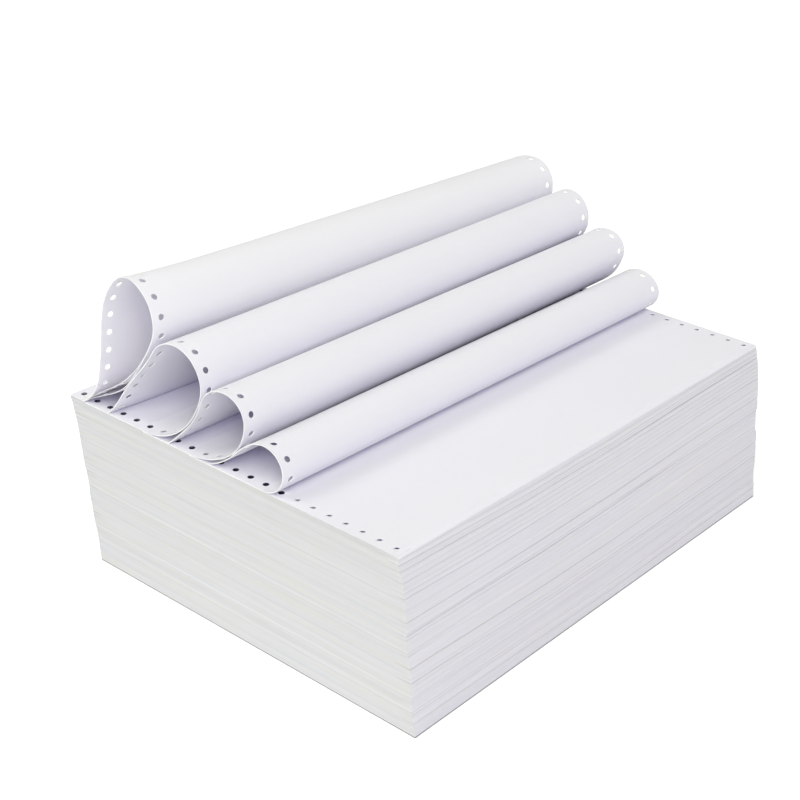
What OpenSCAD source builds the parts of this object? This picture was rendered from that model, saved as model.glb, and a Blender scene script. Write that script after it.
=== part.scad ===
// A stack of continuous form paper: one long sheet, folded to and fro at each
// page, with a row of sprocket holes along both sides. The top eight pages are
// lifted and laid back as four curls, each made of two pages that share a fold.
// X runs across the form and Y runs along the page. The folds lie across the
// form, at the front (low Y) and at the back (high Y).

/* [Sheet] */
// Width of the form from side edge to side edge
form_w = 377.8; // [200:0.1:450]
// Length of one page, from fold to fold
page_len = 279.4; // [274:0.1:340]
// Thickness that one sheet is drawn with
sheet_t = 0.3; // [0.2:0.05:0.35]

/* [Sprocket holes] */
// Diameter of a sprocket hole
hole_d = 4; // [2:0.1:6]
// Distance from one hole to the next along an edge
hole_pitch = 12.7; // [8:0.1:25.4]
// Distance from a side edge to the centre of its holes
hole_inset = 6.35; // [4:0.05:12]

/* [Pile] */
// Height of the flat pile under the curls
pile_h = 122.8; // [60:0.1:200]
// How far the foot of the pile stands out across the width
lean_w = 9.4; // [0:0.1:15]
// How far the foot of the pile stands out along the page
lean_len = 5.2; // [0:0.1:12]
// How far the top pages have slid back over the rest
slide_len = 2.5; // [0:0.1:4]
// Depth of the pages that have slid back
slide_depth = 27; // [10:1:40]
// How far the folds of a thick bundle stand out from its seams
fold_bulge = 0.7; // [0.2:0.1:1.5]
// How far the most uneven bundle is out of line along the page
bundle_step = 1.2; // [0:0.1:1.5]
// How far the most uneven bundle is out of line across the width
bundle_side_step = 0.25; // [0:0.05:0.6]
// Height of the rounding along the top front fold
roll_h = 3.5; // [1:0.1:5]
// Depth of the rounding along the top front fold
roll_len = 4.2; // [1:0.1:6]

/* [Curls] */
// Length of sheet in curl 1, from its fold to where it lies flat
curl_1_len = 264; // [258:0.5:268]
// Length of sheet in curl 2
curl_2_len = 208.6; // [204:0.2:212]
// Length of sheet in curl 3
curl_3_len = 168; // [164:0.5:171]
// Length of sheet in curl 4
curl_4_len = 103.8; // [100:0.2:106]
// Widest parting between the two pages of curl 1, near its foot
parting = 1.6; // [0.6:0.1:2]

/* [Hidden] */

// How each curl bends, as rows of share of its length and direction there. A
// direction of 90 points up, 180 points to the front and 360 lies flat towards
// the back. A curl starts at its fold, which stands on the page below.
curl_1_bend = [
    [0.000, 142],
    [0.045, 122],
    [0.105, 101],
    [0.225, 95],
    [0.340, 117],
    [0.405, 147],
    [0.475, 194],
    [0.565, 269],
    [0.700, 306],
    [0.780, 318],
    [0.860, 329],
    [0.940, 309],
    [1.000, 360]
];
curl_2_bend = [
    [0.000, 137],
    [0.090, 124],
    [0.250, 132],
    [0.355, 123],
    [0.445, 170],
    [0.535, 217],
    [0.660, 288],
    [0.820, 320],
    [1.000, 360]
];
curl_3_bend = [
    [0.000, 137],
    [0.150, 133],
    [0.290, 109],
    [0.390, 155],
    [0.485, 197],
    [0.605, 275],
    [0.760, 322],
    [1.000, 360]
];
curl_4_bend = [
    [0.000, 158],
    [0.250, 133],
    [0.405, 145],
    [0.540, 179],
    [0.675, 233],
    [0.810, 291],
    [1.000, 360]
];
curl_lens = [curl_1_len, curl_2_len, curl_3_len, curl_4_len];
curl_bends = [curl_1_bend, curl_2_bend, curl_3_bend, curl_4_bend];
curl_count = len(curl_lens);

// The step between points along a curled sheet
path_step = 2;
// Clearance between a curl's fold and the page that it stands on
foot_gap = 0.1;
// Share of a curl's length over which its foot is let down onto the page
foot_share = 0.3;
// Share of a curl's length from which its sheet is the lower wall
wall_share = 0.8;
// Shares of curl 1 between which its two pages part
part_start = 0.74;
part_end = 0.99;
// Parting below which the two pages count as lying on each other
least_parting = 0.02;
// How far a cutting shape runs past the face that it cuts
past = 1;
// How far the side profile of the pile runs past its folds
side_past = 5;
// How far a hole's cutter runs past each side of the sheet
hole_past = 0.12;
// Facets of a sprocket hole when it is drawn as a mesh
hole_facets = 32;
paper_colour = [0.93, 0.93, 0.94];

// Sprocket holes along one page, set evenly between its folds
hole_count = floor(page_len / hole_pitch);
first_hole = (page_len - (hole_count - 1) * hole_pitch) / 2;
hole_sides = [hole_inset, form_w - hole_inset];

// The middle of the whole form stands on the origin
middle_x = (form_w + lean_w) / 2;
middle_y = (page_len - lean_len - slide_len) / 2;

// Bundles of pages that hang together, from the foot up: share of the pile's
// height where each starts, and how far it stands out to the front, as a share of
// the most uneven one. The top and bottom bundles are in line with the lean.
bundles = [
    [0.000, 0.00],
    [0.080, -0.90],
    [0.112, -1.00],
    [0.145, -0.35],
    [0.226, 0.40],
    [0.316, 0.75],
    [0.401, 0.75],
    [0.458, -0.90],
    [0.568, 0.60],
    [0.658, 0.50],
    [0.788, 0.25],
    [0.825, 0.25],
    [0.910, 0.25],
    [0.945, 0.20],
    [0.963, 0.10],
    [0.984, 0.00]
];
bundle_count = len(bundles);
function level_at(i) = pile_h * (i < bundle_count ? bundles[i][0] : 1);
function bundle_z(i, share) = level_at(i) * (1 - share) + level_at(i + 1) * share;
// A bundle of this height or more bulges in full
full_bundle_h = 8;
function bulge_of(i) = fold_bulge * min(1, (level_at(i + 1) - level_at(i)) / full_bundle_h);
// Turn from one bundle to the next, which sets how it lies across the width
side_turn = 151;
// Shares of a bundle's height at which its fold line has a point
fold_shares = [0, 0.1, 0.25, 0.5, 0.75, 0.9];

// How far the pages at height z stand out to the front
function slide_at(z) = slide_len * (1 - pow(max(0, 1 - (pile_h - z) / slide_depth), 2));
function pile_offset(z) = lean_len * (1 - z / pile_h) + slide_at(z);
// How far the pages at height z stand out across the width
function pile_side_offset(z) = lean_w * (1 - z / pile_h);
// How far a bundle is out of line along the page and across the width
function step_at(i) = bundle_step * bundles[i][1];
function side_step_at(i) = i > 0 && i < bundle_count - 1 ? bundle_side_step * sin(i * side_turn) : 0;
// The round fold line of a bundle at a share of its height
function bulge_at(i, share) = bulge_of(i) * sqrt(max(0, 1 - pow(2 * share - 1, 2)));
// The rounding along the top front fold
function roll_share(z) = min(1, max(0, (z - pile_h + roll_h) / roll_h));
function roll_at(z) = roll_len * (1 - sqrt(1 - pow(roll_share(z), 2)));

// The folded faces, from the foot to the top of the front, then down the back
function front_point(i, share, z) = [roll_at(z) - pile_offset(z) - step_at(i) - bulge_at(i, share), z];
function back_point(i, share, z) = [page_len - pile_offset(z) - step_at(i) + bulge_at(i, share), z];
front_line = [
    for (i = [0 : bundle_count - 1])
        for (share = fold_shares)
            front_point(i, share, bundle_z(i, share))
];
back_line = [
    for (i = [0 : bundle_count - 1])
        for (share = fold_shares)
            back_point(i, share, bundle_z(i, share))
];
top_line = [[roll_len, pile_h], [page_len, pile_h]];
function backwards(list) = [for (i = [len(list) - 1 : -1 : 0]) list[i]];

// Across the width, each bundle has its own small step
side_line = [
    for (i = [0 : bundle_count - 1])
        for (z = [level_at(i), level_at(i + 1)])
            [pile_side_offset(z) + side_step_at(i), z]
];

module pile() {
    intersection() {
        translate([-past, 0, 0])
            rotate([90, 0, 90])
                linear_extrude(form_w + lean_w + 2 * past)
                    polygon(concat(front_line, top_line, backwards(back_line)));
        translate([0, page_len + side_past, 0])
            rotate([90, 0, 0])
                linear_extrude(page_len + lean_len + slide_len + 2 * side_past)
                    polygon(concat(side_line, [for (p = backwards(side_line)) [p.x + form_w, p.y]]));
    }
}

// Height of the line between the two pages of curl k where they lie flat
function flat_level(k) = pile_h + (2 * (curl_count - 1 - k) + 1) * sheet_t;

// Direction of curl k at length s from its fold
function direction(k, s) = lookup(min(1, s / curl_lens[k]), curl_bends[k]);

// Points between the two pages of curl k, walked from the fold, as [y, z, s]
function walk(k) =
    let (count = ceil(curl_lens[k] / path_step), step = curl_lens[k] / count)
    [
        for (
            i = 0, p = [0, 0, 0];
            i <= count;
            a = direction(k, (i + 0.5) * step), p = p + step * [cos(a), sin(a), 1], i = i + 1
        ) p
    ];

// The same points in place. From where the curl ends, the page lies flat up to
// the back fold.
function placed_walk(k) =
    let (
        steps = walk(k),
        flat_start = steps[len(steps) - 1],
        shift = [curl_lens[k] - flat_start.x, flat_level(k) - flat_start.y, 0]
    )
    concat([for (p = steps) p + shift], [[page_len, flat_level(k), page_len]]);

// Height of the lower wall of a placed walk at y
function wall_level(k, points, y) =
    lookup(y, [for (p = points) if (p.z > wall_share * curl_lens[k]) [p.x, p.y]]);

// The foot of the curl is let down until its fold rests on the lower wall
function curl_path(k) =
    let (
        points = placed_walk(k),
        foot = points[0],
        rest_level = wall_level(k, points, foot.x) + sheet_t * (1 - cos(direction(k, 0))) + foot_gap,
        foot_len = foot_share * curl_lens[k]
    )
    [for (p = points) [p.x, p.y + (rest_level - foot.y) * max(0, 1 - p.z / foot_len), p.z]];

// How far the outer page of a curl hangs away from the inner page
function part_at(k, s) =
    let (share = (s / curl_lens[k] - part_start) / (part_end - part_start))
    k == 0 && share > 0 && share < 1 ? parting * pow(sin(180 * share), 2) : 0;

// Unit vector square to the path at point i, towards the inside of the curl
function inward(path, i) =
    let (
        a = path[max(0, i - 1)],
        b = path[min(len(path) - 1, i + 1)],
        run = [b.x - a.x, b.y - a.y]
    )
    [-run.y, run.x] / norm(run);

// A line at a distance to the inside of the path, less the parting times hang
function beside(k, path, distance, hang) = [
    for (i = [0 : len(path) - 1])
        [path[i].x, path[i].y] + (distance - hang * part_at(k, path[i].z)) * inward(path, i)
];

// Section through curl k: a strip along the path, one page to each side
module curl_section(k) {
    path = curl_path(k);
    difference() {
        polygon(concat(beside(k, path, sheet_t, 0), backwards(beside(k, path, -sheet_t, 1))));
        if (k == 0)
            parted_gap(k, path);
    }
}

// The gap between the two pages of a curl where they part
module parted_gap(k, path) {
    gap_path = [for (p = path) if (part_at(k, p.z) > least_parting) p];
    polygon(concat(beside(k, gap_path, 0, 0), backwards(beside(k, gap_path, 0, 1))));
}

module curl(k) {
    rotate([90, 0, 90])
        linear_extrude(form_w)
            curl_section(k);
}

// Height of the pages that lie flat on the pile at y
function flats_at(y) = 2 * sheet_t * len([for (curl_len = curl_lens) if (y >= curl_len) 1]);

// Sprocket holes of the pile and the flat pages on it, which follow the lean
module pile_holes() {
    rise = [-lean_w, lean_len + slide_len, pile_h];
    per_mm = norm(rise) / pile_h;
    below = rise * (1 + past / pile_h);
    for (x = hole_sides)
        for (i = [0 : hole_count - 1]) {
            y = first_hole + i * hole_pitch;
            h = per_mm * (pile_h + past + flats_at(y) + hole_past);
            translate([x, y, pile_h] - below)
                rotate([0, acos(1 / per_mm), atan2(rise.y, rise.x)])
                    cylinder(d = hole_d, h = h, $fn = hole_facets);
        }
}

// Point of the path at length s
function along(path, s) = [
    lookup(s, [for (p = path) [p.z, p.x]]),
    lookup(s, [for (p = path) [p.z, p.y]])
];

// Sprocket holes of curl k where it isn't flat, each square to the sheet
module curl_holes(k) {
    path = curl_path(k);
    for (i = [0 : hole_count - 1]) {
        s = first_hole + i * hole_pitch;
        at = along(path, s);
        run = along(path, s + path_step / 2) - along(path, s - path_step / 2);
        below = sheet_t + part_at(k, s) + hole_past;
        above = sheet_t + hole_past;
        if (s < curl_lens[k])
            for (x = hole_sides)
                translate([x, at.x, at.y])
                    rotate([atan2(run.y, run.x), 0, 0])
                        translate([0, 0, -below])
                            cylinder(d = hole_d, h = below + above, $fn = hole_facets);
    }
}

module continuous_form() {
    color(paper_colour)
        translate([-middle_x, -middle_y, 0])
            difference() {
                union() {
                    pile();
                    for (k = [0 : curl_count - 1])
                        curl(k);
                }
                pile_holes();
                for (k = [0 : curl_count - 1])
                    curl_holes(k);
            }
}

continuous_form();
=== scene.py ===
# %% [markdown]
# # A stack of continuous form paper
#
# This is one long sheet of paper that is folded to and fro at every page, with a
# row of sprocket holes along both sides. It lies as a pile about 12 cm high. The
# top eight pages have been lifted and laid back, two by two, as four soft curls,
# one behind the other.
#
# Paper shows its making in small things: a fold is round, a cut edge is sharp and
# bright, sheets never lie quite in line, and light that goes in between two white
# sheets comes back many times. The cells below build those things one by one.

# %% The frame
import math
import bmesh
import bpy
import numpy as np
from mathutils import Matrix, Vector


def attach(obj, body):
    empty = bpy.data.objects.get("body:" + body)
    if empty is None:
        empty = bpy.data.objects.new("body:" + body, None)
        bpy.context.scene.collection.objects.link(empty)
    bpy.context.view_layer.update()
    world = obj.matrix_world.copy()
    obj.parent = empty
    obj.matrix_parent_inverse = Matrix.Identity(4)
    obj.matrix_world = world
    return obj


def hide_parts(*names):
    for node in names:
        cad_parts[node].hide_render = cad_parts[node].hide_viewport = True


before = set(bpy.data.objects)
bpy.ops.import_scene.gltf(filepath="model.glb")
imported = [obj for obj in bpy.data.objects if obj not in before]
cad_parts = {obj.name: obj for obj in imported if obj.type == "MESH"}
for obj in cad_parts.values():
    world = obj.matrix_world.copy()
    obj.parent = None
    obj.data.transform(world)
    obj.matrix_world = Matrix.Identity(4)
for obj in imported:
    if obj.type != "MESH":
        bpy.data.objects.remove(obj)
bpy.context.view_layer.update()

# %% [markdown]
# ## Sizes
#
# Everything below is worked out in millimetres on the form itself: x runs across
# the sheet from its left edge, y runs along the page from the front fold, and z
# goes up from the floor. One function at the end moves a point to the shared
# frame, where the middle of the form stands on the origin, and turns it to metres.
#
# The pile leans: going down it moves 9 mm to the right and 5 mm forward, and its
# uppermost 27 mm have slid back by 2.5 mm more.

# %% Sizes of the form
form_w, page_len = 377.8, 279.4
pile_h = 122.8
hole_pitch, hole_r, holes_in_row = 12.7, 2.0, 22
sheet_t = 0.3
lean_w, lean_len, slide_len, slide_depth = 9.4, 5.2, 2.5, 27.0
roll_len, roll_h = 2.1, 1.9
middle = np.array([(form_w + lean_w) / 2, (page_len - lean_len - slide_len) / 2, 0.0])


def to_frame(points):
    """Points in mm on the form, as metres in the shared frame."""
    return (np.asarray(points, float) - middle) / 1000


print("form:", form_w, "mm wide, pages", page_len, "mm long")

# %% [markdown]
# ## Colours
#
# Colours are written as sRGB hex values, the way they are read off a screen.
# Blender mixes light in linear values, so one function turns the one to the other.

# %% Colours
def linear(hex_colour):
    """An sRGB hex colour as linear red, green, blue and alpha."""
    parts = [int(hex_colour[i:i + 2], 16) / 255 for i in (1, 3, 5)]
    return tuple(
        [p / 12.92 if p <= 0.04045 else ((p + 0.055) / 1.055) ** 2.4 for p in parts] + [1.0]
    )


print("white paper, linear:", [round(v, 3) for v in linear("#ECEAF5")[:3]])

# %% [markdown]
# ## Materials
#
# Each material is a small graph. One helper adds a node with its settings and
# links, so a material reads as a list of what it is made of.

# %% A helper for nodes
def add_node(tree, kind, inputs=None, **settings):
    """A new node with its settings. An input is a value or the output that feeds it."""
    made = tree.nodes.new(kind)
    for name, value in settings.items():
        setattr(made, name, value)
    for name, value in (inputs or {}).items():
        if isinstance(value, bpy.types.NodeSocket):
            tree.links.new(value, made.inputs[name])
        else:
            made.inputs[name].default_value = value
    return made


def new_material(name):
    """An empty material with an output, as (material, tree, output)."""
    material = bpy.data.materials.new(name)
    material.use_nodes = True
    tree = material.node_tree
    tree.nodes.clear()
    return material, tree, add_node(tree, "ShaderNodeOutputMaterial")


def node_of(material, kind):
    """The first node of this kind in a material."""
    return next(n for n in material.node_tree.nodes if n.type == kind)


def grains(size_mm):
    """Scale of a pattern whose grains have this size, since the scene is in metres."""
    return 1000.0 / size_mm


print("grains of 0.4 mm need a scale of", grains(0.4))

# %% [markdown]
# ### Uncoated paper
#
# A sheet of form paper is matt. Its fibres make a fine tooth of about 0.4 mm, and
# held to the light it is cloudy, because the fibres settle unevenly in patches of
# 3 to 6 mm. Both are very weak, but without them the sheet looks like plastic.
#
# White office paper is a trace blue, from the brightener that is added to it. It
# hardly shows on an open page, but light that is thrown from sheet to sheet takes
# on more of it each time, and that turns the deep creases violet.
#
# A cut edge shows open fibre, and its white is brighter than the face, partly from
# the open fibre and partly as a painted highlight, so it draws a bright line round
# each curl.

# %% Uncoated paper
cloud_mm, drift_mm, fibre_mm = 4.5, 70.0, 0.4
tooth_height = 0.00003


def paper_material(name, light, dark, tooth=0.35, roughness=0.85):
    """A sheet's face: faint clouds between two whites, and a tooth of fibres."""
    material, tree, output = new_material(name)
    place = add_node(tree, "ShaderNodeTexCoord").outputs["Object"]
    clouds = add_node(tree, "ShaderNodeTexNoise", {
        "Vector": place, "Scale": grains(cloud_mm), "Detail": 3.0, "Roughness": 0.6,
    })
    drift = add_node(tree, "ShaderNodeTexNoise", {
        "Vector": place, "Scale": grains(drift_mm), "Detail": 1.0,
    })
    both = add_node(tree, "ShaderNodeMix", {
        "Factor": 0.5, "A": clouds.outputs["Fac"], "B": drift.outputs["Fac"],
    })
    tone = add_node(tree, "ShaderNodeMapRange", {
        "Value": both.outputs["Result"], "From Min": 0.3, "From Max": 0.7,
    })
    colour = add_node(tree, "ShaderNodeMix", {
        "Factor": tone.outputs["Result"], "A": linear(dark), "B": linear(light),
    }, data_type="RGBA")
    fibres = add_node(tree, "ShaderNodeTexNoise", {
        "Vector": place, "Scale": grains(fibre_mm), "Detail": 3.0, "Roughness": 0.65,
    })
    bump = add_node(tree, "ShaderNodeBump", {
        "Height": fibres.outputs["Fac"], "Strength": tooth, "Distance": tooth_height,
    })
    shader = add_node(tree, "ShaderNodeBsdfPrincipled", {
        "Base Color": colour.outputs["Result"],
        "Normal": bump.outputs["Normal"],
        "Roughness": roughness,
        "Specular IOR Level": 0.25,
    })
    tree.links.new(shader.outputs["BSDF"], output.inputs["Surface"])
    return material


paper = paper_material("uncoated_form_paper", "#ECEAF5", "#EAE8F3")
# Cut edges: a brighter white, partly open fibre and partly a painted highlight
cut_rim_with_highlight = paper_material("cut_edge_with_painted_highlight", "#F8F8F8", "#F4F4F5", tooth=0.2, roughness=0.9)
print("paper faces:", paper.name, "and", cut_rim_with_highlight.name)

# %% [markdown]
# ### Paper that stands free
#
# Where two sheets stand free in the light they glow a little: about a tenth of the
# light on one side comes out at the other. That is what fills the inside of the
# largest curl. The same paper is made as a lit and a shaded copy: the tall curl's
# copy lets more light through, as painted light in its inside, and the copy for the
# three lower curls lets a smaller share through, as painted shade for the light that
# the curls in front of them hold back.
#
# This could be one sheet with a thickness that scatters light, but two skins with
# a share of translucent light say the same at a fraction of the noise. The faces
# between the two pages, which nobody sees, let the light pass.

# %% Paper that lets light through
def let_through(material, colour, share):
    """Mix some light from behind into a paper."""
    tree = material.node_tree
    shader = node_of(material, "BSDF_PRINCIPLED")
    behind = add_node(tree, "ShaderNodeBsdfTranslucent", {"Color": linear(colour)})
    both = add_node(tree, "ShaderNodeMixShader", {
        0: share, 1: shader.outputs["BSDF"], 2: behind.outputs["BSDF"],
    })
    tree.links.new(both.outputs["Shader"], node_of(material, "OUTPUT_MATERIAL").inputs["Surface"])
    return material


# A lit copy of the paper for the tall curl and a shaded copy for the lower ones
paper_lit_copy_for_tall_curl = let_through(
    paper_material("form_paper_lit_copy", "#FAF8FF", "#F9F7FE"), "#FAF8FF", 0.18)
paper_shaded_copy_for_lower_curls = let_through(
    paper_material("form_paper_shaded_copy", "#F2F0FA", "#F0EEF8"), "#FAF8FF", 0.08)
between_pages, tree, output = new_material("between_two_pages")
passing = add_node(tree, "ShaderNodeBsdfTransparent", {"Color": (1, 1, 1, 1)})
tree.links.new(passing.outputs["BSDF"], output.inputs["Surface"])
print("free paper:", paper_lit_copy_for_tall_curl.name, "and", paper_shaded_copy_for_lower_curls.name)

# %% [markdown]
# ### Painted shade inside a hole
#
# A sprocket hole in a pile is a ragged well: each sheet is a little out of line
# with the next, and hardly any light finds its way back up. Drawing every sheet of
# the well would take millions of faces. Instead the well's wall is painted with the
# shade that the ragged edges add up to: nearly black violet where the hole is deep,
# and a pale lavender where the next sheets have closed it.

# %% Painted shade inside a hole
# Both colours are painted shade, not the colour of the paper
hole_shade = paper_material(
    "painted_shade_deep_in_a_hole", "#332D48", "#2C2740", tooth=0.3, roughness=0.95)
shallow_shade = paper_material(
    "painted_shade_in_a_shallow_hole", "#DAD6E8", "#D4D0E2", tooth=0.3, roughness=0.95)
print("holes:", hole_shade.name, "and", shallow_shade.name)

# %% [markdown]
# ### The sides of the pile
#
# From the side a pile of paper is neither a flat colour nor a pattern of clear
# lines. It is a stack of streaks: groups of sheets that were cut or pressed
# together catch a little more or less light, some slightly warmer, some cooler.
# The streaks are 0.3 to 3 mm high and run unbroken for tens of millimetres, so the
# noise is stretched along the sheet and packed tight going up.
#
# The cut side is the greyest part of the form, since the eye sees sheet edges with
# shaded gaps between them. The folded sides are round and closed, and their tone
# lies between that of the cut side and that of an open page.
#
# The clear lines, where bundles meet, are not noise: each has its place. They come
# with the mesh as a number at each point, "shade", that the colour is multiplied by.
# It holds painted shade in the seams and at the foot of the pile, a painted highlight
# on the lips above the seams, and the lighter and darker cut lines.

# %% Sides of the pile
streak_height = 0.0002


def streaks(tree, place, height_mm, run_mm, detail):
    """A noise of streaks with this height that run this far along the sheet."""
    squeezed = add_node(tree, "ShaderNodeMapping", {
        "Vector": place, "Scale": (grains(run_mm), grains(run_mm), grains(height_mm)),
    })
    noise = add_node(tree, "ShaderNodeTexNoise", {
        "Vector": squeezed.outputs["Vector"], "Scale": 1.0, "Detail": detail, "Roughness": 0.6,
    })
    return noise.outputs["Fac"]


def pile_side_material(name, warm, cool, dark, fine_bump):
    """A side of the pile: streaks from a warm to a cool white, with finer dark ones."""
    material, tree, output = new_material(name)
    place = add_node(tree, "ShaderNodeTexCoord").outputs["Object"]
    broad = streaks(tree, place, 3.2, 90.0, 2.0)
    fine = streaks(tree, place, 0.55, 60.0, 3.0)
    tone = add_node(tree, "ShaderNodeMapRange", {
        "Value": broad, "From Min": 0.35, "From Max": 0.65,
    })
    base = add_node(tree, "ShaderNodeMix", {
        "Factor": tone.outputs["Result"], "A": linear(warm), "B": linear(cool),
    }, data_type="RGBA")
    gaps = add_node(tree, "ShaderNodeMapRange", {
        "Value": fine, "From Min": 0.5, "From Max": 0.75,
    })
    colour = add_node(tree, "ShaderNodeMix", {
        "Factor": gaps.outputs["Result"], "A": base.outputs["Result"], "B": linear(dark),
    }, data_type="RGBA")
    # The colour is multiplied by the painted shade and highlight in the mesh's shade numbers
    shade = add_node(tree, "ShaderNodeAttribute", attribute_name="shade")
    shaded = add_node(tree, "ShaderNodeMix", {
        "Factor": 1.0, "A": colour.outputs["Result"], "B": shade.outputs["Color"],
    }, data_type="RGBA", blend_type="MULTIPLY")
    bump = add_node(tree, "ShaderNodeBump", {
        "Height": fine, "Strength": fine_bump, "Distance": streak_height,
    })
    shader = add_node(tree, "ShaderNodeBsdfPrincipled", {
        "Base Color": shaded.outputs["Result"],
        "Normal": bump.outputs["Normal"],
        "Roughness": 0.9,
        "Specular IOR Level": 0.2,
    })
    tree.links.new(shader.outputs["BSDF"], output.inputs["Surface"])
    return material


cut_side = pile_side_material(
    "cut_side_of_the_pile", "#D3D1D2", "#D1D1D6", "#CAC8CC", fine_bump=0.2)
folded_side = pile_side_material(
    "folded_side_of_the_pile", "#DFDCE3", "#DFDDE7", "#D6D3DE", fine_bump=0.15)
print("side materials:", cut_side.name, "and", folded_side.name)

# %% [markdown]
# ### Ribs on the folded side
#
# A fold of continuous paper is perforated, so that the pages can be torn apart.
# The little bridges stand in line above each other, about 1 mm apart, and where
# the folds are pressed together they make faint upright ribs. They show near the
# top of the pile and fade out going down. A wave texture draws them, and its 20
# radians to a unit give its scale for a pitch in millimetres.

# %% Ribs on the folded side
rib_pitch_mm, rib_height, rib_strength = 1.04, 0.0001, 0.8
ribs_from, ribs_full = 0.085, 0.100


def add_ribs(material):
    """Upright ribs that fade in between two heights, over the bump that is there."""
    tree = material.node_tree
    place = node_of(material, "TEX_COORD").outputs["Object"]
    wave = add_node(tree, "ShaderNodeTexWave", {
        "Vector": place, "Scale": grains(rib_pitch_mm) * 2 * math.pi / 20,
        "Distortion": 1.5, "Detail": 1.0, "Detail Scale": 0.4,
    }, bands_direction="X")
    split = add_node(tree, "ShaderNodeSeparateXYZ", {"Vector": place})
    reach = add_node(tree, "ShaderNodeMapRange", {
        "Value": split.outputs["Z"], "From Min": ribs_from, "From Max": ribs_full,
    })
    height = add_node(tree, "ShaderNodeMath", {
        0: wave.outputs["Fac"], 1: reach.outputs["Result"],
    }, operation="MULTIPLY")
    ribs = add_node(tree, "ShaderNodeBump", {
        "Height": height.outputs["Value"], "Strength": rib_strength, "Distance": rib_height,
        "Normal": node_of(material, "BUMP").outputs["Normal"],
    })
    tree.links.new(ribs.outputs["Normal"], node_of(material, "BSDF_PRINCIPLED").inputs["Normal"])


add_ribs(folded_side)
print("ribs every", rib_pitch_mm, "mm")

# %% [markdown]
# ## A page as a lattice
#
# A page is drawn flat first, as squares on the sheet, and bent later. Along both
# edges every 12.7 mm square holds one round sprocket hole: 24 corners on the
# square, a ring of 24 between, and 24 on the hole's rim. The rows between match
# the squares, so the sheet has no gap or crack anywhere.

# %% The lattice of a page
ring_count, side_steps, middle_columns = 24, 6, 30
row_step = hole_pitch / side_steps
rim_ring_r = 3.6
ring_angles = np.radians(225 + 360 / ring_count * np.arange(ring_count))


def hole_cell():
    """Quads of a square around a hole, as an array of (quad, corner, xs)."""
    half = hole_pitch / 2
    along_side = np.linspace(-half, half, side_steps + 1)[:-1]
    square = np.concatenate([
        np.stack([along_side, np.full(side_steps, -half)], 1),
        np.stack([np.full(side_steps, half), along_side], 1),
        np.stack([-along_side, np.full(side_steps, half)], 1),
        np.stack([np.full(side_steps, -half), -along_side], 1),
    ])
    turn = np.stack([np.cos(ring_angles), np.sin(ring_angles)], 1)
    rings = [square, turn * rim_ring_r, turn * hole_r]
    quads = []
    for outer, inner in zip(rings, rings[1:]):
        quads.append(np.stack([outer, np.roll(outer, -1, 0), np.roll(inner, -1, 0), inner], 1))
    return np.concatenate(quads) + half


def grid_quads(xs, rows):
    """Quads of a plain grid, as an array of (quad, corner, xs)."""
    x0, s0 = np.meshgrid(xs[:-1], rows[:-1], indexing="ij")
    x1, s1 = np.meshgrid(xs[1:], rows[1:], indexing="ij")
    corners = [(x0, s0), (x1, s0), (x1, s1), (x0, s1)]
    return np.stack([np.stack([x.ravel(), s.ravel()], 1) for x, s in corners], 1)


margin_xs = np.linspace(0, hole_pitch, side_steps + 1)
middle_xs = np.linspace(hole_pitch, form_w - hole_pitch, middle_columns + 1)
column_xs = np.concatenate([margin_xs[:-1], middle_xs, form_w - margin_xs[::-1][1:]])
row_ss = np.arange(holes_in_row * side_steps + 1) * row_step
cells = np.concatenate([
    hole_cell() + np.array([x, i * hole_pitch])
    for x in (0.0, form_w - hole_pitch)
    for i in range(holes_in_row)
])
page_quads = np.concatenate([cells, grid_quads(middle_xs, row_ss)])
print("a page has", len(page_quads), "quads and", 2 * holes_in_row, "holes")

# %% [markdown]
# The loose quads meet at the same places. Rounding each place to a thousandth of a
# millimetre and keeping one point for each makes them a mesh that hangs together.

# %% Weld the quads
def weld(quads):
    """(points, faces) of loose quads, with corners at the same place made one."""
    flat = quads.reshape(-1, 2)
    _, first, inverse = np.unique(
        np.round(flat * 1000).astype(int), axis=0, return_index=True, return_inverse=True)
    return flat[first], inverse.reshape(-1, 4)


page_points, page_faces = weld(page_quads)
print("welded page:", len(page_points), "points")

# %% [markdown]
# ## From lattice to closed sheet
#
# A sheet has a thickness, if a small one. Its two faces are the same lattice at two
# distances from the middle line, and every open edge of the lattice gets a narrow
# wall: along the cut sides, at the page ends and inside the holes. The walls on
# cut edges are a shade brighter, partly from open fibre and partly as a painted
# highlight, but where a sheet lies in the pile its edge is one more line in the
# pile's side.

# %% Build a piece
def build_piece(name, points, faces, kinds, materials, sharp_deg=40, tones=None):
    """A closed mesh in the shared frame that rides on the form's one body.

    The kinds say which of the materials each face has. The tones are the painted shade
    and highlight on the side of the pile at each point, with its lighter and darker
    lines, 1 where nothing is said.
    """
    mesh = bpy.data.meshes.new(name)
    mesh.from_pydata(to_frame(points).tolist(), [], [list(f) for f in faces])
    for material in materials:
        mesh.materials.append(material)
    mesh.polygons.foreach_set("material_index", np.asarray(kinds, np.int32))
    work = bmesh.new()
    work.from_mesh(mesh)
    bmesh.ops.recalc_face_normals(work, faces=work.faces)
    work.to_mesh(mesh)
    work.free()
    tones = np.ones(len(points)) if tones is None else tones
    shade = mesh.attributes.new("shade", "FLOAT", "POINT")
    shade.data.foreach_set("value", np.asarray(tones, np.float32))
    mesh.shade_smooth()
    mesh.set_sharp_from_angle(angle=math.radians(sharp_deg))
    piece = bpy.data.objects.new(name, mesh)
    bpy.context.scene.collection.objects.link(piece)
    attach(piece, "root")
    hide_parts("continuous_form")
    mesh.calc_loop_triangles()
    print(name, "triangles:", len(mesh.loop_triangles))
    return piece


# %% Close a sheet
OUTER, RIM, SIDE, HOLE = range(4)
edge_of_form = 0.01


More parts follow.
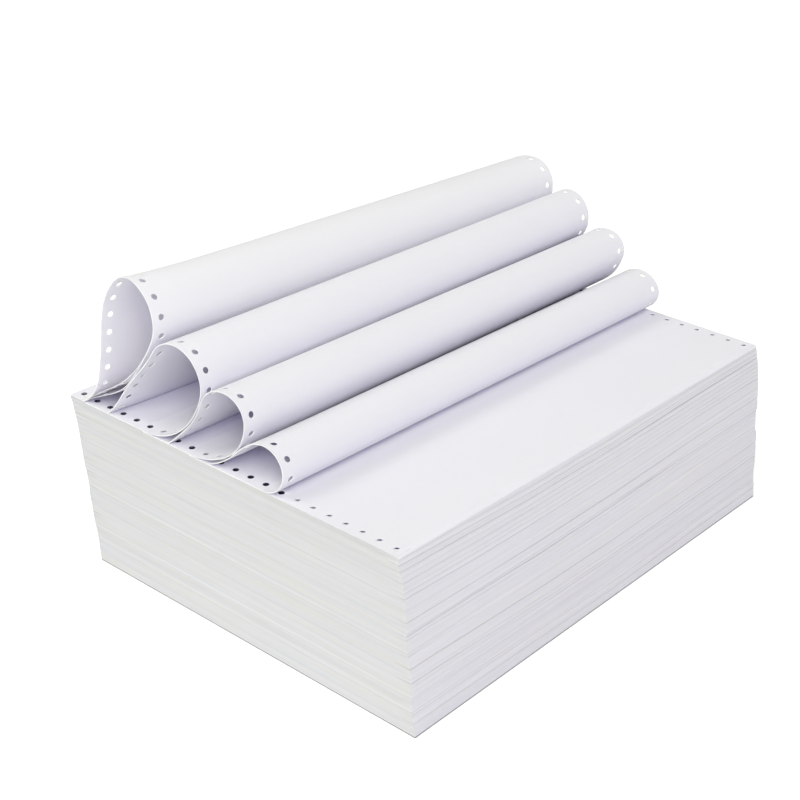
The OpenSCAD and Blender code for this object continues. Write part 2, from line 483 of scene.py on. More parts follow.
def open_edges(faces):
    """Edges of a lattice that only one of its faces has."""
    edges = np.concatenate([faces[:, [i, (i + 1) % 4]] for i in range(4)])
    unique, counts = np.unique(np.sort(edges, axis=1), axis=0, return_counts=True)
    return unique[counts == 1]


def close_sheet(upper, lower, faces, xs, ss, shaded_from, covered_from, inside=OUTER):
    """(points, faces, kinds) of a sheet with walls along its open edges.

    Walls of holes beyond shaded_from get little light and carry the painted shade of
    a hole, and the cut edge beyond covered_from is one line more in the side of the pile.
    """
    count = len(upper)
    edges = open_edges(faces)
    walls = np.concatenate([edges, edges[:, ::-1] + count], axis=1)
    all_faces = np.concatenate([faces, faces[:, ::-1] + count, walls])
    x, s = xs[edges].mean(1), ss[edges].mean(1)
    on_border = (x < edge_of_form) | (x > form_w - edge_of_form) | (s > page_len - edge_of_form)
    wall_kinds = np.full(len(edges), RIM)
    wall_kinds[on_border & (s > covered_from)] = SIDE
    wall_kinds[~on_border & (s > shaded_from)] = HOLE
    kinds = np.concatenate([np.full(len(faces), OUTER), np.full(len(faces), inside), wall_kinds])
    return np.concatenate([upper, lower]), all_faces, kinds


print("a page has", len(open_edges(page_faces)), "open edges")

# %% [markdown]
# ## How a curl bends
#
# A lifted pair of pages is a springy strip: it is held flat by its own weight at
# the back, swings up and forward, turns over at the front and comes down again to
# stand on its fold. Each curl is drawn by its direction along the strip, which
# changes evenly between a few marks, as an elastic sheet does. 90 degrees points
# up, 180 to the front and 360 lies flat towards the back.
#
# The strip is not a plain cylinder. Each curl has one shape at its left end and
# another at its right end, with a smooth change between. Close to the left edge
# the change is quicker, where the paper springs free.
#
# The length is that of the lifted part, and the base is where it comes to lie flat,
# measured from the front fold of the pile. In the largest curl they differ, since
# its drawn outline is a little shorter than the sheet. The slack is shared out over
# its back wall, beyond 160 mm from the fold, where it is seen the least.

# %% Shapes of the curls
# Shares of the length, then the direction at the left and at the right end
curls = [
    dict(
        lengths=(256.6, 259.0), bases=(265.5, 260.0),
        shares=[0, .045, .105, .165, .225, .285, .34, .375, .405, .44, .475, .52, .565, .63,
                .70, .78, .86, .94, 1],
        left=[149, 127, 103, 99, 96, 102, 120, 128, 142, 173, 207, 230, 257, 295,
              306, 317, 328, 326, 324],
        right=[146, 129, 109, 106, 104, 117, 130, 144, 157, 172, 190, 228, 266, 290,
               310, 324, 334, 334, 340],
    ),
    dict(
        lengths=(208.6, 210.3), bases=(208.6, 210.3),
        shares=[0, .09, .25, .355, .445, .535, .66, .82, 1],
        left=[137, 124, 132, 123, 170, 217, 288, 320, 360],
        right=[138, 126, 127, 113, 174, 238, 312, 313, 360],
    ),
    dict(
        lengths=(168.0, 165.9), bases=(168.0, 165.9),
        shares=[0, .15, .29, .39, .485, .605, .76, 1],
        left=[137, 133, 109, 155, 197, 275, 322, 360],
        right=[138, 134, 112, 154, 197, 283, 321, 360],
    ),
    dict(
        lengths=(103.8, 98.8), bases=(103.8, 98.8),
        shares=[0, .25, .405, .54, .675, .81, 1],
        left=[158, 133, 145, 179, 233, 291, 360],
        right=[156, 132, 148, 186, 228, 294, 360],
    ),
]
print("lifted lengths, mm:", [curl["lengths"][0] for curl in curls])

# %% Walk along a curl
walk_step = 0.5
even_from = 160.0
path_ss = np.arange(0, page_len + walk_step, walk_step)


def flat_level(k):
    """Height of the middle line of curl k where it lies flat on the pile."""
    return pile_h + (2 * (len(curls) - 1 - k) + 1) * sheet_t


def walk(k, end):
    """The middle line of curl k at its left (0) or right (1) end, as (y, z) at path_ss."""
    shape = curls[k]
    length, base = shape["lengths"][end], shape["bases"][end]
    count = math.ceil(length / walk_step)
    step = length / count
    at = (np.arange(count) + 0.5) * step
    turn = np.radians(np.interp(at / length, shape["shares"], shape["right" if end else "left"]))
    steps = np.stack([np.cos(turn), np.sin(turn)], 1) * step
    line = np.concatenate([[[0, 0]], np.cumsum(steps, axis=0)])
    line += np.array([base, flat_level(k)]) - line[-1]
    beyond = page_len + walk_step - base
    line = np.concatenate([line, [[base + beyond, flat_level(k)]]])
    ss = np.concatenate([np.arange(count + 1) * step, [length + beyond]])
    slack = (base - length) * np.maximum(0, path_ss - even_from) / (page_len - even_from)
    return np.stack([np.interp(path_ss - slack, ss, line[:, i]) for i in (0, 1)], 1)


print("the first curl's fold, y and z:", walk(0, 0)[0].round(1))

# %% [markdown]
# The outline alone would leave a fold hanging in the air or sunk in the sheet
# below. So each line is let down or lifted by a small amount that fades out along
# the first third of the curl, until the fold stands on the sheet.

# %% Stand each fold on the sheet below
foot_gap, foot_share, wall_share = 0.1, 0.3, 0.8
flare_share, flare_mm = 0.2, 25


def right_share(x):
    """How much of the right end's shape there is at x."""
    return flare_share * (1 - np.exp(-x / flare_mm)) + (1 - flare_share) * x / form_w


def curl_line(k, x):
    """The middle line of curl k at one x, let down until its fold stands on the sheet."""
    share = right_share(x)
    line = (1 - share) * walk(k, 0) + share * walk(k, 1)
    length = (1 - share) * curls[k]["lengths"][0] + share * curls[k]["lengths"][1]
    wall = path_ss > wall_share * length
    start = math.radians((1 - share) * curls[k]["left"][0] + share * curls[k]["right"][0])
    below = np.interp(line[0, 0], line[wall, 0], line[wall, 1])
    rest = below + sheet_t * (1 - math.cos(start)) + foot_gap
    line[:, 1] += (rest - line[0, 1]) * np.maximum(0, 1 - path_ss / (foot_share * length))
    return line


for k in range(len(curls)):
    line = curl_line(k, 0.0)
    print("curl", k + 1, "top", round(line[:, 1].max() - pile_h, 1), "mm above the pile")

# %% [markdown]
# ## The four curls
#
# A curl is two pages with a round fold between them, made as one closed sheet. It
# runs down the inner page, turns through half a circle at the fold and goes back up
# the outer page. Everywhere else the two pages lie on each other, but near the foot
# of the tallest curl the outer page hangs free by up to 3.6 mm.

# %% Two pages with a fold
fold_rows = 4


def folded_lattice():
    """Points (x, s, turn) and faces of two pages with the round fold between them."""
    inner = page_quads * np.array([1, -1])
    outer = page_quads + np.array([0, fold_rows])
    fold = grid_quads(column_xs, np.arange(fold_rows + 1.0))
    points, faces = weld(np.concatenate([inner[:, ::-1], fold, outer]))
    along = points[:, 1]
    s = np.where(along <= 0, -along, np.maximum(0, along - fold_rows))
    turn = np.pi * np.clip(along / fold_rows, 0, 1)
    return points[:, 0], s, turn, faces


lattice_x, lattice_s, lattice_turn, lattice_faces = folded_lattice()
print("two pages:", len(lattice_faces), "quads")

# %% [markdown]
# To bend the lattice, the middle line is worked out at 96 places across the form.
# Each point of the lattice finds its place and heading between the four nearest
# samples and steps off the line, to the side that its turn gives: inwards on the
# inner page, outwards on the outer page, and round the fold between them.

# %% Bend two pages round a curl
parting, part_start, part_end = 3.6, 180.0, 265.0
parting_loss = 0.7
line_count = 96


def parted(k, s, x):
    """How far the outer page hangs away from the inner page."""
    if k > 0:
        return np.zeros_like(s)
    share = np.clip((s - part_start) / (part_end - part_start), 0, 1)
    return parting * np.sin(np.pi * share) ** 2 * (1 - parting_loss * x / form_w)


def between(grid, column, row):
    """Values of a grid of points between its columns and rows."""
    c0 = np.clip(column.astype(int), 0, grid.shape[0] - 2)
    r0 = np.clip(row.astype(int), 0, grid.shape[1] - 2)
    fc, fr = (column - c0)[:, None], (row - r0)[:, None]
    return (
        (1 - fc) * (1 - fr) * grid[c0, r0] + fc * (1 - fr) * grid[c0 + 1, r0]
        + (1 - fc) * fr * grid[c0, r0 + 1] + fc * fr * grid[c0 + 1, r0 + 1]
    )


def curl_surface(k, x, s, turn, distance):
    """Points of curl k at a distance from its middle line, on the side that turn gives."""
    known_xs = np.linspace(0, form_w, line_count)
    lines = np.stack([curl_line(k, v) for v in known_xs])
    heading = np.gradient(lines, path_ss, axis=1)
    heading /= np.linalg.norm(heading, axis=2, keepdims=True)
    column = np.interp(x, known_xs, np.arange(line_count))
    place = between(lines, column, s / walk_step)
    ahead = between(heading, column, s / walk_step)
    inward = np.stack([-ahead[:, 1], ahead[:, 0]], 1)
    outer_page = turn > 3
    out = distance + np.where(outer_page, parted(k, s, x), 0.0)
    side = np.cos(turn)[:, None] * inward - np.sin(turn)[:, None] * ahead
    return np.concatenate([x[:, None], place + out[:, None] * side], axis=1)


print("the outer page parts by", parting, "mm from", part_start, "to", part_end, "mm")

# %% [markdown]
# The skins of the two pages are the visible faces. Beyond the base the pages lie in
# the pile, where light that goes in comes back out, so there they are plain paper.

# %% Build the curls
skin, core = 0.27, 0.02
# Hole walls from shade_before_base before the base onwards carry painted shade
shade_before_base, flat_after_base = 3, 2
BETWEEN, FLAT = 4, 5

for k in range(len(curls)):
    base = curls[k]["bases"][0]
    outside = curl_surface(k, lattice_x, lattice_s, lattice_turn, skin)
    inside = curl_surface(k, lattice_x, lattice_s, lattice_turn, core)
    covered_from = curls[k - 1]["bases"][0] if k else page_len + 1
    points, faces, kinds = close_sheet(
        outside, inside, lattice_faces, lattice_x, lattice_s,
        base - shade_before_base, covered_from, inside=BETWEEN,
    )
    lies_flat = lattice_s[lattice_faces].min(1) > base + flat_after_base
    kinds[:len(lattice_faces)][lies_flat] = FLAT
    # The tall curl gets the lit copy of the paper, the lower curls the shaded copy
    standing = paper_shaded_copy_for_lower_curls if k else paper_lit_copy_for_tall_curl
    materials = [standing, cut_rim_with_highlight, cut_side, hole_shade, between_pages, paper]
    build_piece(f"curl_{k + 1}", points, faces, kinds, materials)

# %% [markdown]
# ## The top page of the pile
#
# The first page that still lies down is the one the eye sees as the top of the
# pile. Its front fold has been pulled down a little by the pages under it, so the
# sheet rolls over the edge in a soft quarter round about 2 mm deep.

# %% The top page
page_t = 0.27
tail_rows = np.array([-2.0, -1.3, -0.6, 0.0])
top_quads = np.concatenate([page_quads, grid_quads(column_xs, tail_rows)])
top_points, top_faces = weld(top_quads)
# Up to here the holes are lit, and beyond it their walls carry painted shade; from
# here on the cut edge is a line in the pile's side, which is all of it
lit_holes_to, covered_from_start = 89.0, -9.0


def over_the_edge(points, below):
    """Flat (x, s) points of the top page laid over the rounded front edge."""
    x, s = points[:, 0], points[:, 1]
    angle = np.clip((roll_len - s) / (roll_len - tail_rows[0]), 0, 1) * np.pi / 2
    y = np.where(s >= roll_len, s, roll_len - (roll_len - below) * np.sin(angle))
    rolled = pile_h - roll_h + (roll_h - below) * np.cos(angle)
    return np.stack([x, y, np.where(s >= roll_len, pile_h - below, rolled)], 1)


top_sheet = close_sheet(
    over_the_edge(top_points, 0.0), over_the_edge(top_points, page_t), top_faces,
    top_points[:, 0], top_points[:, 1], lit_holes_to, covered_from_start,
)
build_piece("top_page", *top_sheet, [paper, cut_rim_with_highlight, cut_side, hole_shade])

# %% [markdown]
# ## The lines on the pile's sides
#
# Where the pile was picked up and put down again the folds fall into bundles. Each
# bundle swells softly and leaves a dark seam, and above a seam the lowest fold of
# the next bundle stands out as a thin bright lip. The seams wander up and down and
# fade along the width. Along the cut sides the sheets are nearly in line, with a
# few sheets proud here and there, where a bundle was cut on its own.
#
# The seams could be noise, but then each would look like the next. A table of
# where they lie gives the pile its own face.

# %% Tables of seams and cut lines
# Depth below the top at the left end, how dark the seam is and how bright the lip
# above it, both in relief and as painted shade and painted highlight
seams = [
    (2.0, .45, .0), (5.5, .60, .45), (7.5, .25, .1), (9.5, 1.0, .40), (13.2, .50, .45),
    (17.0, .45, .1), (20.5, .30, .2), (23.5, .40, .35), (27.0, .75, .45), (34.6, .30, .1),
    (38.0, .10, .3), (42.6, .85, .1), (49.5, .40, .3), (52.5, .95, .4), (55.2, .45, .1),
    (58.5, .20, .2), (64.0, .35, .3), (66.3, .30, .1), (74.5, .90, .2), (81.5, .35, .3),
    (84.5, .85, .4), (87.0, .40, .0), (90.5, .15, .2), (96.5, .40, .3), (98.2, .30, .0),
    (105.3, .40, .35), (107.6, .40, .2), (113.0, .75, .2), (117.0, .15, .1),
]
# The seam's dark tone is painted shade and the lip's bright tone a painted highlight
seam_half, seam_depth, seam_painted_shade, lip_painted_highlight = 0.46, 0.60, 0.26, 0.16
# How far the seams drift down along the width, at five depths
drift_xs = [0, 25, 60, 120, 200, 300, 378]
drift_depths = [5, 27, 52, 85, 115]
drifts = [
    [-.5, 0, .6, 2.1, 2.1, .6, 0],
    [-.5, 0, 1.0, 1.8, 1.0, -1.0, -2.0],
    [-.3, 0, .5, 1.5, 1.0, -1.8, -2.0],
    [-.5, 0, 1.2, 3.7, 5.0, 4.4, 4.0],
    [-.3, 0, .5, 1.5, 3.0, 2.2, 2.0],
]
# Depth below the top, how much lighter the cut side is there, half height
cut_lines = [
    (3.0, -.075, 2.2), (10.5, -.055, 1.2), (16.5, -.035, 2.0), (20.0, -.020, 2.0),
    (27.5, .040, .7), (29.0, -.030, .7), (31.5, .015, 2.0), (37.0, -.030, 1.2),
    (40.0, .015, 1.5), (47.0, -.035, .9), (51.0, .015, 1.5), (58.0, .015, 1.5),
    (61.3, -.020, .7), (63.2, .060, .8), (64.8, -.030, .6), (68.0, -.030, 1.2),
    (72.0, .010, 1.5), (78.5, -.035, 1.2), (81.5, .020, 2.0), (87.0, .020, 1.5),
    (92.5, -.015, .7), (94.4, .065, .8), (97.2, .025, .7), (99.5, -.040, 1.5),
    (101.5, -.020, 1.0), (104.6, .055, .8), (106.2, -.020, .7), (109.0, .010, 1.5),
    (115.5, -.025, 2.0), (118.5, .020, .8),
]
# Depth below the top, how far the folds stand out there
proud_depths = [0, 26, 27, 50, 52, 66, 68, 94, 95, 104, 110, 112, pile_h]
proud_folds = [0, .3, .6, .6, -.7, -1.1, .7, .4, -.2, -.9, -.9, .2, .1]
# A lip lies this many half seams above its seam, and is this many of them high
lip_above, lip_half, lip_out = 2.4, 1.3, 0.2
# Faint lines between the seams and cut lines: how many, how far out, half height
faint_folds, faint_fold_out, faint_fold_half = 26, 0.06, 0.6
faint_cuts, faint_cut_out, faint_cut_half = 18, 0.08, 1.5
# The lowest pages are painted darker, as painted shadow at the foot of the pile
foot_height, painted_foot_shadow = 0.9, 0.38
print("seams:", len(seams), "cut lines:", len(cut_lines))

# %% [markdown]
# Two kinds of functions read the tables. The relief says how far the side stands
# out, in millimetres, and the tone says how light it is. Both are needed: a step of
# half a millimetre throws no shadow that soft studio light leaves visible, so the
# tone holds painted shade in each seam, where the real seam goes in between the
# sheets, and a painted highlight on each lip.

# %% The folded side
def wander(x, scale, seed):
    """A slow wave of height about 1 along the sheet, always the same for a seed."""
    turns = np.random.default_rng(seed).uniform(0, 2 * np.pi, 3)
    waves = [(0.6, 1.0), (0.3, 2.3), (0.15, 5.1)]
    return sum(size * np.sin(pace * x / scale + turn) for (size, pace), turn in zip(waves, turns))


def depths(z, along):
    """Depth below the top for each height and each place along a side."""
    return pile_h - z[:, None] + 0 * along[None, :]


def paint_foot_shadow(tone, z):
    """A tone with painted shadow at the foot of the pile."""
    return tone * np.where(z < foot_height, painted_foot_shadow, 1.0)[:, None]


def seam_waves(x, z, seed):
    """Depth of the seams and height of the lips above them, at each height and place."""
    depth = depths(z, x)
    cut, lip = np.zeros_like(depth), np.zeros_like(depth)
    rows = np.stack([np.interp(x, drift_xs, row) for row in drifts])
    for i, (at, dark, bright) in enumerate(seams):
        drift = np.array([np.interp(at, drift_depths, rows[:, j]) for j in range(len(x))])
        rounded = 0.8 * math.exp(-at / 12)
        place = at + rounded + drift + 0.12 * wander(x, 45, seed + 10 + i)
        fade = np.clip(0.85 + 0.4 * wander(x, 90, seed + 50 + i), 0.3, 1.25)
        off = (depth - place) / seam_half
        cut += dark * fade * np.exp(-off ** 2)
        lip += bright * fade * np.exp(-((off + lip_above) / lip_half) ** 2)
    return cut, lip


def fold_relief(x, z, seed):
    """How far the folds stand out at each height and place along the width."""
    depth = depths(z, x)
    bundles = np.interp(depth, proud_depths, proud_folds) * (0.75 + 0.25 * wander(x, 110, seed))
    cut, lip = seam_waves(x, z, seed)
    out = bundles - seam_depth * cut + lip_out * lip
    for i in range(faint_folds):
        at = np.random.default_rng(seed + 100 + i).uniform(1, pile_h - 2)
        line = np.exp(-((depth - at) / faint_fold_half) ** 2)
        out = out + faint_fold_out * wander(x, 60, seed + 130 + i) * line
    return out


def fold_painted_light_and_shade(x, z, seed):
    """How light the folded side is: painted shade in the seams, painted highlight on the lips."""
    cut, lip = seam_waves(x, z, seed)
    return paint_foot_shadow(1 - seam_painted_shade * cut + lip_painted_highlight * lip, z)


print("a seam is", 2 * seam_half, "mm high")

# %% The cut side
proud_per_tone, ragged_mm, ragged_tone = 3.0, 0.03, 0.006


def side_relief(y, z, seed):
    """How far the cut edges stand out at each height and place along the page."""
    depth = depths(z, y)
    ragged = np.random.default_rng(seed).standard_normal((len(z), 1))
    out = ragged_mm * ragged * np.ones_like(depth)
    for at, light, half in cut_lines:
        out = out + proud_per_tone * light * np.exp(-((depth - at) / half) ** 2)
    for i in range(faint_cuts):
        at = np.random.default_rng(seed + 5 + i).uniform(2, pile_h - 2)
        line = np.exp(-((depth - at) / faint_cut_half) ** 2)
        out = out + faint_cut_out * wander(y, 70, seed + 40 + i) * line
    return out


def side_tone(y, z, seed):
    """How light the cut side is: each bundle was cut on its own and shows a line, and the foot
    has painted shadow.
    """
    depth = depths(z, y)
    tone = np.ones_like(depth)
    for i, (at, light, half) in enumerate(cut_lines):
        fade = 0.75 + 0.3 * np.exp(-y / 90) + 0.2 * wander(y, 80, seed + i)
        tone += light * fade * np.exp(-((depth - at) / half) ** 2)
    tone += ragged_tone * np.random.default_rng(seed).standard_normal((len(z), 1))
    return paint_foot_shadow(tone, z)


print("a line that is 5 % lighter stands out by", proud_per_tone * 0.05, "mm")

# %% [markdown]
# ## The skin of the pile
#
# The skin is a stack of closed rings, about three to a millimetre, each a hair out
# of line with the next. A ring runs along the front folds, back along the right cut
# side, along the back folds and forward again along the left cut side. It follows
# the lean of the pile, and near the top it draws in, under the rounded edge of the
# top page.

# %% Rings of the pile's skin
level_count = 332
block_top = pile_h - page_t
levels = np.linspace(0, block_top, level_count)
row_ys = row_ss[::side_steps]
steepest_roll = 0.93
front_seed, back_seed, left_seed, right_seed = 3, 400, 800, 900
# The back folds stand out less than the front ones, and lie a hair farther in
back_relief, back_in = 0.6, 0.2


def page_shift(z):
    """How far the pages at height z stand out to the front and across the width."""
    slid = slide_len * (1 - np.maximum(0, 1 - (pile_h - z) / slide_depth) ** 2)
    return lean_len * (1 - z / pile_h) + slid, lean_w * (1 - z / pile_h)


def block_front(z):
    """Where the front of the pages at height z is, with the rounded top edge."""
    share = np.clip((z - block_top + roll_h) / roll_h, 0, steepest_roll)
    rounded = roll_len * (1 - np.sqrt(1 - share ** 2))
    return rounded + page_t - page_shift(z)[0]


def round_the_pile(front, right, back, left):
    """Values along the four sides as one ring, counter-clockwise seen from above."""
    return np.concatenate(
        [front, right[:, 1:], back[:, ::-1][:, 1:], left[:, ::-1][:, 1:-1]], axis=1)


def ring_points(z):
    """Points of the ring at each height, as (level, place, xyz)."""
    forward, across = page_shift(z)
    front = block_front(z)[:, None] - fold_relief(column_xs, z, front_seed)
    folds = fold_relief(column_xs, z, back_seed)
    back = (page_len - forward)[:, None] + folds * back_relief - back_in
    left = across[:, None] - side_relief(row_ys, z, left_seed)
    right = (across + form_w)[:, None] + side_relief(row_ys, z, right_seed)
    x_share, y_share = column_xs / form_w, row_ys / page_len

    def side(xs, ys):
        return np.stack([xs, ys, np.broadcast_to(z[:, None], xs.shape)], 2)

    def blend(first, last, share):
        return first[:, None] * (1 - share) + last[:, None] * share

    return round_the_pile(
        side(blend(left[:, 0], right[:, 0], x_share), front),
        side(right, blend(front[:, -1], back[:, -1], y_share)),
        side(blend(left[:, -1], right[:, -1], x_share), back),
        side(left, blend(front[:, 0], back[:, 0], y_share)),
    )


def ring_tones(z):
    """How light the skin is at every point of the rings, with its painted shade and highlight."""
    return round_the_pile(
        fold_painted_light_and_shade(column_xs, z, front_seed), side_tone(row_ys, z, right_seed),
        fold_painted_light_and_shade(column_xs, z, back_seed), side_tone(row_ys, z, left_seed),
    )


rings = ring_points(levels[1:-1])
print("rings:", rings.shape[0], "with", rings.shape[1], "points each")

# %% [markdown]
# The top and the bottom of the pile are the page lattice again, so that every hole
# has its rim. The lattice has six points for each ring point along the cut sides
# and one for one along the folds, so the last strip is made of faces with more
# corners, which need no extra points on the rings.

# %% The top and the bottom of the pile
top_front = float(block_front(np.array([block_top]))[0])
first_rows = 2 * row_step


def lattice_at_top():
    """The page lattice as the top of the pile, drawn in at the rounded front."""
    x, s = page_points[:, 0], page_points[:, 1]
    drawn_in = top_front + s * (first_rows - top_front) / first_rows
    return np.stack([x, np.where(s < first_rows, drawn_in, s), np.full_like(x, block_top)], 1)


def lattice_at_bottom():
    """The page lattice as the bottom of the pile, shifted by its lean."""
    x, s = page_points[:, 0], page_points[:, 1]
    forward, across = page_shift(0.0)
    return np.stack([x + across, s - forward, np.zeros_like(x)], 1)


def find_points(xs, ss):
    """Indexes of the page's lattice points at these places."""
    lookup = {(round(x * 1000), round(s * 1000)): i for i, (x, s) in enumerate(page_points)}
    return np.array([lookup[(round(x * 1000), round(s * 1000))] for x, s in zip(xs, ss)])


def page_border():
    """Lattice indexes round the page, from the front left corner back to it."""
    front = find_points(column_xs, np.zeros_like(column_xs))
    back = find_points(column_xs, np.full_like(column_xs, row_ss[-1]))
    right = find_points(np.full_like(row_ss, form_w), row_ss)
    left = find_points(np.zeros_like(row_ss), row_ss)
    return np.concatenate([front, right[1:], back[::-1][1:], left[::-1][1:]])


border = page_border()
fold_steps, cut_steps = [1] * (len(column_xs) - 1), [side_steps] * (len(row_ys) - 1)
border_steps = np.array(2 * (fold_steps + cut_steps))
meets = np.concatenate([[0], np.cumsum(border_steps)])
print("the border has", len(border) - 1, "points for", len(border_steps), "ring points")

# %% [markdown]
# ## The holes of the pile
#
# The holes go down through the whole pile, but not as clean tubes. In the open
# front part the pages just under the top one are out of line by 2.5 mm, so the next
# sheet covers most of each hole and leaves a sickle on one side. That is why these
# holes look shallow and pale. Farther back, under the curls, the pages are more
# nearly in line and the holes are deep and dark. Below the lit top, the walls of the
# wells carry painted shade: pale lavender in the open holes, near black in the deep
# ones. Each step sideways is the same for all holes of a kind, because it is the
# page that has moved, not the hole.

# %% Rims and steps of the holes
# Depth of a step below the top, how far the hole has moved across and back there
open_hole_steps = [(0.30, 0, 0), (0.34, 2.0, 1.5), (1.6, 2.0, 1.5), (60.0, 1.6, 1.2)]
shaded_hole_steps = [(0.5, 0, 0), (2.0, 0.2, 0.1), (4.0, 0.3, 0.2), (60.0, 0.3, 0.2)]
# How many holes of a row are open, and down to where their walls are lit paper;
# below that they carry painted shade
open_holes, lit_depth = 7, 0.5


def hole_rims():
    """Indexes of the rim of every hole, as (hole, place on the rim)."""
    across, along = hole_r * np.cos(ring_angles), hole_r * np.sin(ring_angles)
    return np.array([
        find_points(x + across, (i + 0.5) * hole_pitch + along)
        for x in (hole_pitch / 2, form_w - hole_pitch / 2)
        for i in range(holes_in_row)
    ])


def step_shift(depth, across, back):
    """How far a hole has moved at a step, with the lean of the pile."""
    share = depth / pile_h
    return np.array([across + lean_w * share, back - (lean_len + slide_len) * share, -depth])


print("open holes:", open_holes, "in each row of", holes_in_row)

# %% Put the pile together
TOP, CUT, FOLDED, DEEP, SHALLOW = range(5)
top, bottom = lattice_at_top(), lattice_at_bottom()
count, ring_size = len(page_points), rings.shape[1]
points = [top, bottom, rings.reshape(-1, 3)]
faces = page_faces.tolist() + (page_faces[:, ::-1] + count).tolist()
kinds = [TOP] * len(faces)


def add_band(first, second, band_kinds):
    """Faces between two closed rings with as many points."""
    band = np.stack([first, np.roll(first, -1), np.roll(second, -1), second], 1)
    faces.extend(band.tolist())
    kinds.extend(np.broadcast_to(band_kinds, len(first)).tolist())


index = 2 * count + np.arange(rings.shape[0] * ring_size).reshape(-1, ring_size)
side_kinds = np.where(border_steps == 1, FOLDED, CUT)
for low, high in zip(index, index[1:]):
    add_band(low, high, side_kinds)
for p, kind in enumerate(side_kinds.tolist()):
    q = (p + 1) % ring_size
    stretch = border[meets[p]:meets[p + 1] + 1]
    faces.append([index[-1][p], index[-1][q], *stretch[::-1]])
    faces.append([index[0][q], index[0][p], *(stretch + count)])
    kinds += [kind, kind]
print("pile without holes:", len(faces), "faces")

# %% Holes down through the pile
next_index = 2 * count + rings.shape[0] * ring_size
for number, rim in enumerate(hole_rims()):
    is_open = number % holes_in_row < open_holes
    before = rim
    for step in open_hole_steps if is_open else shaded_hole_steps:
        points.append(top[rim] + step_shift(*step))
        now = next_index + np.arange(ring_count)
        next_index += ring_count
        # Below the lit depth, the walls carry painted shade
        lit = TOP if step[0] < lit_depth else SHALLOW
        add_band(before, now, lit if is_open else DEEP)
        before = now
    add_band(before, rim + count, DEEP)

points = np.concatenate(points)
tones = np.ones(len(points))
tones[2 * count:2 * count + index.size] = ring_tones(levels[1:-1]).ravel()
pile_materials = [paper, cut_side, folded_side, hole_shade, shallow_shade]
build_piece("pile", points, faces, kinds, pile_materials, sharp_deg=50, tones=tones)

# %% [markdown]
# ## The floor
#
# The form stands on a plain white floor. It is a matt white that keeps the form's
# shadow. A glow that only the camera sees lifts it to the clean white of a studio
# sweep, so no light is added to the paper.

# %% The floor
floor_size, floor_z, floor_glow = 6.0, -0.00005, 0.30
floor_patch_mm, floor_dark, floor_light = 1000 / 6, 0.975, 0.985
bpy.ops.mesh.primitive_plane_add(size=floor_size, location=(0, 0, floor_z))
floor = bpy.context.object
floor.name = "floor"
floor_material, tree, output = new_material("white_floor")
floor_place = add_node(tree, "ShaderNodeTexCoord").outputs["Object"]
floor_noise = add_node(tree, "ShaderNodeTexNoise", {
    "Vector": floor_place, "Scale": grains(floor_patch_mm),
})
floor_tone = add_node(tree, "ShaderNodeMapRange", {
    "Value": floor_noise.outputs["Fac"], "To Min": floor_dark, "To Max": floor_light,
})
matt = add_node(tree, "ShaderNodeBsdfDiffuse", {"Color": floor_tone.outputs["Result"]})
light_path = add_node(tree, "ShaderNodeLightPath")
seen_glow = add_node(tree, "ShaderNodeMath", {
    0: light_path.outputs["Is Camera Ray"], 1: floor_glow,
}, operation="MULTIPLY")
glow = add_node(tree, "ShaderNodeEmission", {
    "Color": (1, 0.97, 1, 1), "Strength": seen_glow.outputs["Value"],
})
together = add_node(tree, "ShaderNodeAddShader", {
    0: matt.outputs["BSDF"], 1: glow.outputs["Emission"],
})
tree.links.new(together.outputs["Shader"], output.inputs["Surface"])
floor.data.materials.append(floor_material)
print("floor:", floor_size, "m square")

# %% [markdown]
# ## The light
#
# The room gives a little under half of the light on the open page, softly and from
# all sides, and most of what reaches deep into the curls. The main lamp hangs in
# front and to the left, high enough that the top of the pile is the brightest flat
# face. A lower lamp next to it fills the curls and the sides, and a third, behind
# and to the left, lights the back of the tall curl and shines through it.
#
# The main lamp is a little warm and the low one clearly cool. Where both reach,
# white paper comes out white, and where the main lamp is shaded it turns cool, as
# it does in a daylight studio.

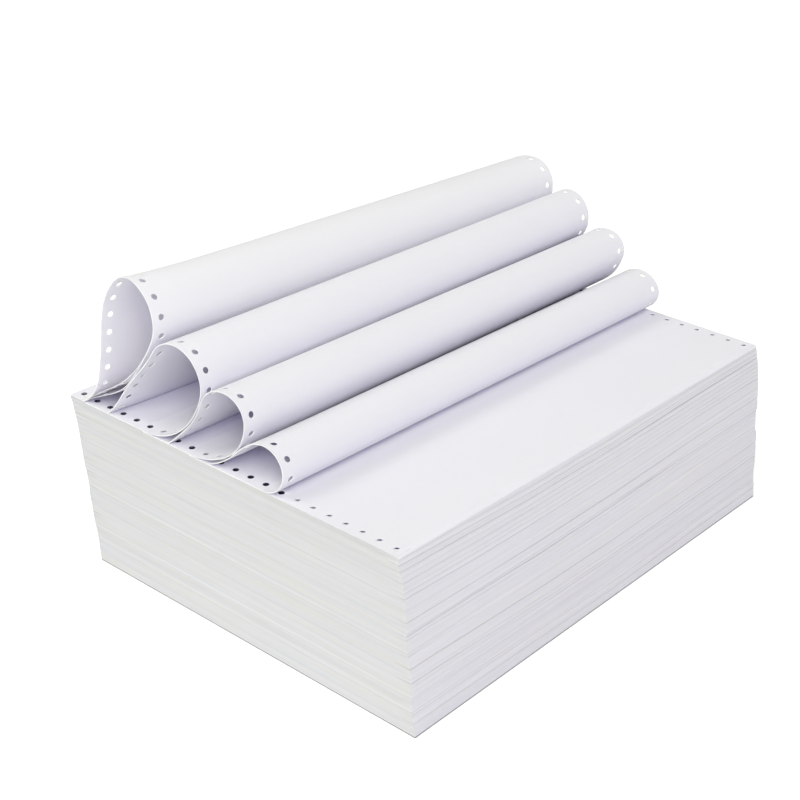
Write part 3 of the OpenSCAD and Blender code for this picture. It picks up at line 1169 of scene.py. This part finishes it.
# %% The room's light
room = bpy.data.worlds.new("white_room")
bpy.context.scene.world = room
room.use_nodes = True
tree = room.node_tree
tree.nodes.clear()
path = add_node(tree, "ShaderNodeLightPath")
seen = add_node(tree, "ShaderNodeMath", {
    0: path.outputs["Is Camera Ray"], 1: path.outputs["Is Glossy Ray"],
}, operation="MAXIMUM")
seen_too = add_node(tree, "ShaderNodeMath", {
    0: seen.outputs["Value"], 1: path.outputs["Is Transmission Ray"],
}, operation="MAXIMUM")
soft_light = add_node(tree, "ShaderNodeBackground", {
    "Color": (0.993, 1.0, 0.97, 1), "Strength": 0.456,
})
white = add_node(tree, "ShaderNodeBackground", {"Color": (1, 1, 1, 1), "Strength": 1.0})
choice = add_node(tree, "ShaderNodeMixShader", {
    0: seen_too.outputs["Value"],
    1: soft_light.outputs["Background"],
    2: white.outputs["Background"],
})
add_node(tree, "ShaderNodeOutputWorld", {"Surface": choice.outputs["Shader"]})
print("room light:", soft_light.inputs["Strength"].default_value)

# %% The lamps
lamp_size, lamp_target = 2.4, Vector((0, 0, 0.1))
# Name, place in metres, watts and colour
lamps = [
    ("main_lamp", (-3.04, -2.56, 4.0), 127.0, (0.95, 1.0, 0.73)),
    ("low_fill", (-3.68, -3.04, 2.24), 72.0, (0.70, 0.67, 1.0)),
    ("back_lamp", (-2.4, 2.4, 3.84), 73.0, (0.98, 1.0, 0.90)),
]
for name, place, watts, colour in lamps:
    lamp = bpy.data.lights.new(name, "AREA")
    lamp.size, lamp.energy, lamp.color = lamp_size, watts, colour
    holder = bpy.data.objects.new(name, lamp)
    holder.location = place
    holder.rotation_euler = (lamp_target - Vector(place)).to_track_quat("-Z", "Y").to_euler()
    bpy.context.scene.collection.objects.link(holder)
print("lamps:", len(lamps), "and the room's own light")

# %% [markdown]
# ## The camera
#
# The camera looks down at the left front corner of the pile from a little over a
# metre away, through a moderate telephoto lens, and is held very slightly askew.

# %% The camera
azimuth, elevation, roll = (math.radians(v) for v in (49.94, 25.57, 1.55))
camera_place = (-0.7574, -0.62525, 0.5937)
ahead = Vector((
    math.sin(azimuth) * math.cos(elevation),
    math.cos(azimuth) * math.cos(elevation),
    -math.sin(elevation),
))
right = ahead.cross(Vector((0, 0, 1))).normalized()
up = right.cross(ahead)
right_tilted = math.cos(roll) * right + math.sin(roll) * up
up_tilted = math.cos(roll) * up - math.sin(roll) * right
axes = Matrix((right_tilted, up_tilted, -ahead)).transposed().to_4x4()
camera = bpy.data.objects.new("camera", bpy.data.cameras.new("camera"))
camera.data.lens, camera.data.sensor_width = 73.2, 36.0
camera.data.shift_x, camera.data.shift_y = -0.031, -0.040
camera.data.clip_start, camera.data.clip_end = 0.05, 20.0
camera.matrix_world = Matrix.Translation(camera_place) @ axes
bpy.context.scene.collection.objects.link(camera)
bpy.context.scene.camera = camera
bpy.context.scene.view_settings.view_transform = "Standard"
print("camera at", [round(v, 3) for v in camera.location])
